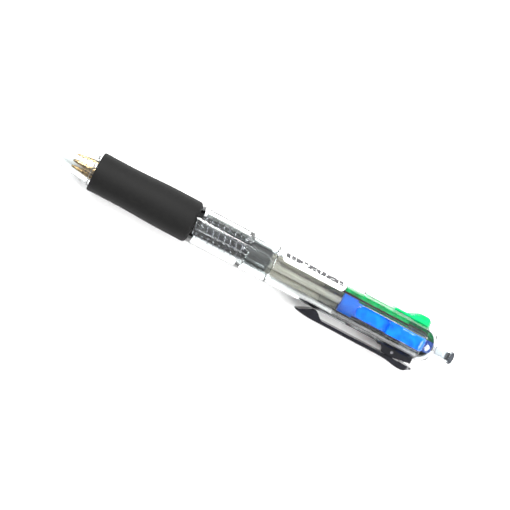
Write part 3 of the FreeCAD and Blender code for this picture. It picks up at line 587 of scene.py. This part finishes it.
@dataclass(frozen=True)
class PrintedLabel(Finish):
    """Coated white paper label with rows of small generic printed marks that say nothing.

    Attributes:
        middle: Where round the axis the label's middle is, in radians.
        radius: Radius that the label is wrapped to, in millimetres.
        start: Height where its printing starts, in millimetres.
        end: Height where its printing ends, in millimetres.
        rows: Place of each row round the barrel, its height and its strength.
        marks_per_height: How many marks stand in a row's own height.
        mark_size: Share of a mark's cell that is printed, as its distance from the middle.
        mark_scatter: How far the marks stray from an even grid.
        fibre: Size of the paper's fibres, in millimetres.
        fibre_depth: Depth of the fibres, in millimetres.
    """

    middle: float = math.radians(-1)
    radius: float = 6.45
    start: float = 82.0
    end: float = 103.0
    rows: tuple[tuple[float, float, float], ...] = ((4.1, 2.1, 1.0), (1.3, 1.0, 0.5))
    marks_per_height: float = 1.3
    mark_size: float = 0.45
    mark_scatter: float = 0.5
    fibre: float = 0.4
    fibre_depth: float = 0.006

    def build(self) -> bpy.types.Material:
        """Makes the material: satin white paper with paper fibres and dark marks in rows."""
        material, tree, shader = self.blank()
        place = self.upright(tree)
        facing = add_node(tree, "ShaderNodeVectorRotate",
                          {"Vector": place, "Axis": (0, 0, 1), "Angle": -self.middle})
        parts = add_node(tree, "ShaderNodeSeparateXYZ", {"Vector": facing.outputs["Vector"]})
        angle = add_node(tree, "ShaderNodeMath", {0: parts.outputs["Y"], 1: parts.outputs["X"]},
                         operation="ARCTAN2")
        round_way = add_node(tree, "ShaderNodeMath", {0: angle.outputs[0], 1: self.radius},
                             operation="MULTIPLY").outputs[0]
        along = add_node(tree, "ShaderNodeMath", {0: parts.outputs["Z"], 1: 1 / MM},
                         operation="MULTIPLY").outputs[0]
        middle = add_node(tree, "ShaderNodeMath", {0: along, 1: (self.start + self.end) / 2},
                          operation="SUBTRACT").outputs[0]
        far = add_node(tree, "ShaderNodeMath", {0: middle}, operation="ABSOLUTE").outputs[0]
        inside = add_node(tree, "ShaderNodeMath", {0: far, 1: (self.end - self.start) / 2},
                          operation="LESS_THAN").outputs[0]
        printed = None
        for centre, height, strength in self.rows:
            row = add_node(tree, "ShaderNodeMath", {0: round_way, 1: centre, 2: height / 2},
                           operation="COMPARE").outputs[0]
            spot = add_node(tree, "ShaderNodeCombineXYZ",
                            {"X": along, "Y": round_way, "Z": centre})
            marks = add_node(tree, "ShaderNodeTexVoronoi",
                             {"Vector": spot.outputs["Vector"],
                              "Scale": self.marks_per_height / height,
                              "Randomness": self.mark_scatter},
                             voronoi_dimensions="2D", distance="CHEBYCHEV")
            stroke = add_node(tree, "ShaderNodeMath",
                              {0: marks.outputs["Distance"], 1: self.mark_size},
                              operation="LESS_THAN").outputs[0]
            ink = add_node(tree, "ShaderNodeMath", {0: stroke, 1: row},
                           operation="MULTIPLY").outputs[0]
            weak = add_node(tree, "ShaderNodeMath", {0: ink, 1: strength},
                            operation="MULTIPLY").outputs[0]
            printed = weak if printed is None else add_node(
                tree, "ShaderNodeMath", {0: printed, 1: weak}, operation="MAXIMUM").outputs[0]
        shown = add_node(tree, "ShaderNodeMath", {0: printed, 1: inside},
                         operation="MULTIPLY").outputs[0]
        fibres = add_node(tree, "ShaderNodeTexNoise",
                          {"Vector": place, "Scale": per_metre(self.fibre), "Detail": 6.0})
        body = self.tint(tree, shown, (0.0, 1.0))
        tree.links.new(body, shader.inputs["Base Color"])
        tree.links.new(self.rough(tree, fibres.outputs["Fac"]), shader.inputs["Roughness"])
        tree.links.new(self.bump(tree, fibres.outputs["Fac"], self.fibre_depth),
                       shader.inputs["Normal"])
        return material


@dataclass(frozen=True)
class PaperSweep(Finish):
    """Plain matt white card under the pen, with barely visible fibres."""

    fibre: float = 0.8
    fibre_span: tuple[float, float] = (0.3, 0.7)

    def build(self) -> bpy.types.Material:
        """Makes the material: an even matt white."""
        material, tree, shader = self.blank()
        fibres = add_node(tree, "ShaderNodeTexNoise",
                          {"Vector": self.upright(tree), "Scale": per_metre(self.fibre),
                           "Detail": 3.0})
        body = self.tint(tree, fibres.outputs["Fac"], self.fibre_span)
        tree.links.new(body, shader.inputs["Base Color"])
        tree.links.new(self.rough(tree, fibres.outputs["Fac"]), shader.inputs["Roughness"])
        return material


# ---- pieces ---------------------------------------------------------------------------
@dataclass
class RubberGrip:
    """The rubber sleeve on the front barrel, with a slight waist and rolled edges."""

    pen: PenFrame
    finish: bpy.types.Material
    straight_length: float = 9.0
    front_drop: float = 0.4        # how far its front is slimmer than its rear
    edge_round: float = 1.2
    waist_depth: float = 0.12
    front_steps: int = 5
    waist_steps: int = 9
    rear_steps: int = 6
    sides: int = 128
    crease: float = 50             # edges sharper than this stay sharp, in degrees

    def profile(self) -> list[tuple[float, float]]:
        """Its outline, from the frame's own sleeve.

        Returns:
            Radius and height of each corner in millimetres.
        """
        start, end, inner, outer = self.pen.extent("rubber_grip")
        front = outer - self.front_drop
        front_round = self.edge_round / 2
        straight_start = end - self.edge_round - self.straight_length
        points = [(inner, start), (front - front_round, start)]
        points += [(front - front_round * (1 - math.sin(turn)),
                    start + front_round * (1 - math.cos(turn)))
                   for turn in quarter_turn(self.front_steps)]
        waist_start = start + front_round
        for step in range(1, self.waist_steps):
            share = step / self.waist_steps
            swell = share * share * (3 - 2 * share)
            height = waist_start + (straight_start - waist_start) * share
            waist = self.waist_depth * math.sin(math.pi * share)
            points.append((front + (outer - front) * swell ** 2 - waist, height))
        points += [(outer, straight_start), (outer, end - self.edge_round)]
        points += [(outer - self.edge_round * (1 - math.cos(turn)),
                    end - self.edge_round * (1 - math.sin(turn)))
                   for turn in quarter_turn(self.rear_steps)]
        points.append((inner, end))
        return points

    def build(self) -> bpy.types.Object:
        """Makes the sleeve and dresses it.

        Returns:
            The sleeve, in its place.
        """
        piece = lathe("grip_sleeve", self.profile(), self.sides)
        piece.data.materials.append(self.finish)
        smooth(piece, self.crease)
        self.pen.lay(piece)
        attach(piece, "pen_barrel")
        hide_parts("rubber_grip")
        return piece


@dataclass
class ReturnSprings:
    """Four wound steel springs round the refills, each with closed end turns."""

    pen: PenFrame
    finish: bpy.types.Material
    wire_radius: float = 0.18
    closed_pitch: float = 2.1      # of an end turn, in wire radii
    end_turns: int = 1
    open_turns: int = 12
    wire_sides: int = 10
    steps: int = 24
    travel: float = 10.0
    crease: float = 60             # edges sharper than this stay sharp, in degrees

    def stretch(self, mean_radius: float, start: float, pitch: float, turns: int
                ) -> bpy.types.Object:
        """Winds a few turns of wire by a screw about the upright axis.

        Args:
            mean_radius: Radius of the wire's middle.
            start: Height of the wire's middle at its start.
            pitch: Rise of each turn.
            turns: How many turns there are.

        Returns:
            The open stretch of wire.
        """
        deselect_all()
        bpy.ops.mesh.primitive_circle_add(vertices=self.wire_sides, radius=self.wire_radius * MM,
                                          location=(mean_radius * MM, 0, start * MM),
                                          rotation=(math.pi / 2, 0, 0))
        piece = bpy.context.object
        bpy.ops.object.transform_apply(location=True, rotation=True, scale=True)
        wind = piece.modifiers.new("wind", "SCREW")
        wind.axis = "Z"
        wind.screw_offset = pitch * MM
        wind.iterations = turns
        wind.steps = self.steps
        wind.render_steps = self.steps
        bpy.ops.object.modifier_apply(modifier=wind.name)
        return piece

    def first(self) -> tuple[bpy.types.Object, float, float]:
        """Winds one spring about the upright axis.

        Returns:
            The spring, and where it starts and ends along the axis.
        """
        start, end, inner, outer = self.pen.extent("return_spring_green")
        mean_radius = (outer - inner) / 2 - self.wire_radius
        closed_pitch = self.closed_pitch * self.wire_radius
        closed = self.end_turns * closed_pitch
        low = start + self.wire_radius
        open_length = end - start - 2 * self.wire_radius - 2 * closed
        stretches = [self.stretch(mean_radius, low, closed_pitch, self.end_turns),
                     self.stretch(mean_radius, low + closed, open_length / self.open_turns,
                                  self.open_turns),
                     self.stretch(mean_radius, low + closed + open_length, closed_pitch,
                                  self.end_turns)]
        deselect_all()
        for part in stretches:
            part.select_set(True)
        bpy.context.view_layer.objects.active = stretches[0]
        bpy.ops.object.join()
        spring = bpy.context.object
        bpy.ops.object.mode_set(mode="EDIT")
        close_up()
        bpy.ops.object.mode_set(mode="OBJECT")
        spring.data.materials.append(self.finish)
        smooth(spring, self.crease)
        return spring, start, end

    def build(self) -> list[bpy.types.Object]:
        """Makes the four springs, each round its own refill.

        Returns:
            The springs, in their places.
        """
        pattern, start, end = self.first()
        inner, outer = self.pen.extent("return_spring_green")[2:]
        offset = (inner + outer) / 2
        springs = []
        for colour in InkColour:
            spring = own_copy(pattern, f"coil_{colour.value}")
            spring.data.transform(Matrix.Translation((offset * MM, 0, 0)))
            self.pen.lay(spring, colour.angle)
            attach(spring, "pen_barrel")
            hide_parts(f"return_spring_{colour.value}")
            tuple(self.pen.direction(Axis.ALONG))
            tuple(self.pen.point(start))
            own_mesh(spring)
            springs.append(spring)
        bpy.data.objects.remove(pattern)
        return springs


# ---- the studio -----------------------------------------------------------------------
@dataclass
class Studio:
    """White sweep, soft lights with a darker horizon, and the camera.

    Attributes:
        pen: The pen's frame.
        sweep: The sweep's material.
        floor_size: The sweep's side, in metres.
        elevation: The camera's angle over the table, in degrees.
        distance: From the camera to the place it stands round, in metres.
        turn: The pen's turn in the picture, in degrees.
        focal: Focal length, in the units of the picture's width.
        watched: The place the camera stands round, in metres.
        tip_seen: Where the writing end lies in the same measure, in metres.
        sensor_width: The camera's sensor, in millimetres.
        clip_start: Nearest distance that the camera sees, in metres.
        sky_light: Brightness of the sky at each share of its height.
        sky_strength: Strength of the whole sky.
    """

    pen: PenFrame
    sweep: bpy.types.Material
    floor_size: float = 6.0
    elevation: float = 74.28
    distance: float = 0.4013
    turn: float = 29.9
    focal: float = 613.3 * 1.95
    watched: tuple[float, float, float] = (-0.00029, -0.00223, 0)
    tip_seen: tuple[float, float, float] = (0.00277, -0.04813, 0)
    sensor_width: float = 36
    clip_start: float = 0.001
    sky_light: tuple[tuple[float, float], ...] = ((0.0, 0.05), (0.25, 0.12), (0.55, 0.62))
    sky_strength: float = 1.05

    def build(self) -> None:
        """Sets everything up."""
        self.floor()
        self.sky()
        self.lamp("key", (-0.30, 0.45, 0.80), 0.6, 22.0)
        self.lamp("fill", (0.60, -0.25, 0.60), 0.5, 9.0)
        self.camera()

    def floor(self) -> None:
        """Lays the sweep flat, on the table's level."""
        deselect_all()
        bpy.ops.mesh.primitive_plane_add(size=self.floor_size)
        sweep = bpy.context.object
        sweep.name = "sweep"
        sweep.data.materials.append(self.sweep)

    def sky(self) -> None:
        """Makes a white sky over a darker horizon, which gives clear parts their grey edges."""
        world = bpy.data.worlds.new("studio")
        bpy.context.scene.world = world
        world.use_nodes = True
        tree = world.node_tree
        where = add_node(tree, "ShaderNodeTexCoord")
        parts = add_node(tree, "ShaderNodeSeparateXYZ", {"Vector": where.outputs["Generated"]})
        light = ramp(tree, parts.outputs["Z"],
                     [(height, grey(value)) for height, value in self.sky_light])
        tree.links.new(light, tree.nodes["Background"].inputs["Color"])
        tree.nodes["Background"].inputs["Strength"].default_value = self.sky_strength
        bpy.context.scene.view_settings.view_transform = "Standard"

    def lamp(self, name: str, place: tuple[float, float, float], size: float, power: float) -> None:
        """Hangs a square lamp that faces the pen.

        Args:
            name: The lamp's name.
            place: Where it hangs, in metres.
            size: Its side, in metres.
            power: Its power, in watts.
        """
        light = bpy.data.lights.new(name, "AREA")
        light.size = size
        light.energy = power
        lamp = bpy.data.objects.new(name, light)
        bpy.context.collection.objects.link(lamp)
        lamp.location = place
        lamp.rotation_mode = "QUATERNION"
        lamp.rotation_quaternion = (-Vector(place)).to_track_quat("-Z", "Y")

    def camera(self) -> None:
        """Sets the camera over the pen, with the crown to the lower right."""
        tip = self.pen.point(0)
        level = math.radians(self.elevation)
        watched = Vector(self.watched)
        eye = watched + self.distance * Vector((0, -math.cos(level), math.sin(level)))
        turned = Matrix.Rotation(math.radians(self.turn), 3, "Z")
        place = turned @ (eye - Vector(self.tip_seen)) + Vector((tip.x, tip.y, 0))
        up = (turned @ Vector((1, 0, 0))).cross(turned @ (watched - eye))
        forward = (self.pen.point(PEN_MIDDLE) - place).normalized()
        right = forward.cross(up).normalized()
        matrix = Matrix((right, right.cross(forward), -forward)).transposed().to_4x4()
        matrix.translation = place
        lens = bpy.data.cameras.new("camera")
        lens.sensor_width = self.sensor_width
        lens.lens = self.sensor_width * self.focal / PICTURE_WIDTH
        lens.clip_start = self.clip_start
        camera = bpy.data.objects.new("camera", lens)
        bpy.context.collection.objects.link(camera)
        camera.matrix_world = matrix
        bpy.context.scene.camera = camera


# ---- the whole pen --------------------------------------------------------------------
@dataclass
class Wardrobe:
    """The finish of each material slot of the record, and of the crown."""

    pen: PenFrame

    def finishes(self) -> dict[str, Finish]:
        """Lists the finishes by their slots, and the crown's own one by its node."""
        pen = self.pen
        return {
            "clear_plastic": ClearStyrene("clear_styrene_moulded", pen, "fbfdfd", "eef4f4",
                                          (0.02, 0.06)),
            # The crown's greyer tone is painted shade: its clear stalk is tinted grey to stand in
            # for the darker edges that the light gives it.
            "crown": ClearStyrene("crown_styrene_painted_shade", pen, "d4d9dc", "c0c6ca", (0.04, 0.12)),
            "grip_rubber": GripRubber("grip_rubber_moulded", pen, "070707", "121211", (0.60, 0.85)),
            "seat_plastic": MouldedPlastic("natural_acetal_moulded", pen, "dcdcd4", "ecece6",
                                           (0.35, 0.5)),
            "smoke_plastic": MouldedPlastic("smoke_styrene_moulded", pen, "3c4046", "5a5f66",
                                            (0.08, 0.2),
                                            clearness=0.5),
            "sticker": PrintedLabel("coated_paper_printed", pen, "f6f6f4", "3a3a3c", (0.35, 0.5)),
            "spring_steel": TurnedMetal("spring_steel_drawn", pen, "c4c4c8", "8c8c92",
                                        (0.10, 0.22)),
            "brass_tip": TurnedMetal("brass_turned", pen, "a58a62", "6a553a",
                                     (0.14, 0.30), ring=0.6),
            "refill_tube": ExtrudedTube("polypropylene_extruded", pen, "f7f4ea", "ddd6c2",
                                        (0.10, 0.35)),
            "black_plastic": MouldedPlastic("black_styrene_moulded", pen, "06070d", "0e0f18",
                                            (0.10, 0.22)),
            "blue_plastic": TintedStyrene("blue_styrene_moulded", pen, "0056dc", "007ef5",
                                          (0.06, 0.16)),
            "green_plastic": TintedStyrene("green_styrene_moulded", pen, "00a850", "00d470",
                                           (0.05, 0.14)),
            "red_plastic": TintedStyrene("red_styrene_moulded", pen, "d20a0a", "e81414",
                                         (0.05, 0.14)),
            "black_ink": Ink("black_ink_paste", pen, "050506", "101014", (0.08, 0.2)),
            "blue_ink": Ink("blue_ink_paste", pen, "03051c", "060b3c", (0.08, 0.2)),
            "green_ink": Ink("green_ink_paste", pen, "02120b", "052a1c", (0.08, 0.2)),
            "red_ink": Ink("red_ink_paste", pen, "240204", "420508", (0.08, 0.2)),
        }

    def build(self) -> dict[str, bpy.types.Material]:
        """Makes the materials by their slots."""
        return {slot: finish.build() for slot, finish in self.finishes().items()}


@dataclass
class CadPieces:
    """The CAD nodes that stay as they are and take a finish."""

    subparts: list[dict]
    materials: dict[str, bpy.types.Material]
    own: dict[str, bpy.types.Material]

    def dress(self) -> int:
        """Gives every node its slot's finish, or its own one.

        Returns:
            How many nodes were dressed.
        """
        for subpart in self.subparts:
            node = frame["nodes"][subpart["node"]]
            material = self.own.get(subpart["node"], self.materials[subpart["material_slot"]])
            if not node.material_slots:
                node.data.materials.append(material)
            for place in node.material_slots:
                place.material = material
        return len(self.subparts)


def main() -> None:
    """Builds the pen's looks piece by piece."""
    logging.basicConfig(level=logging.INFO, format="%(message)s")
    pen = PenFrame.from_record(frame["record"])
    materials = Wardrobe(pen).build()
    log.info("%d finishes", len(materials))
    price_marks = PrintedLabel("price_paper_printed", pen, "f6f6f4", "3a3a3c", (0.35, 0.5),
                               middle=math.radians(325), start=56.0, end=73.0,
                               rows=((0.8, 1.6, 0.8),))
    own = {"price_label": price_marks.build(), "crown": materials["crown"]}
    count = CadPieces(frame["record"]["subparts"], materials, own).dress()
    log.info("%d CAD pieces dressed", count)
    grip = RubberGrip(pen, materials["grip_rubber"]).build()
    log.info("%s: %d faces", grip.name, len(grip.data.polygons))
    for spring in ReturnSprings(pen, materials["spring_steel"]).build():
        log.info("%s: %d faces", spring.name, len(spring.data.polygons))
    paper = PaperSweep("white_card_coated", pen, "fafafa", "ffffff", (0.6, 0.75))
    Studio(pen, paper.build()).build()
    log.info("studio ready")


if __name__ == "__main__":
    main()
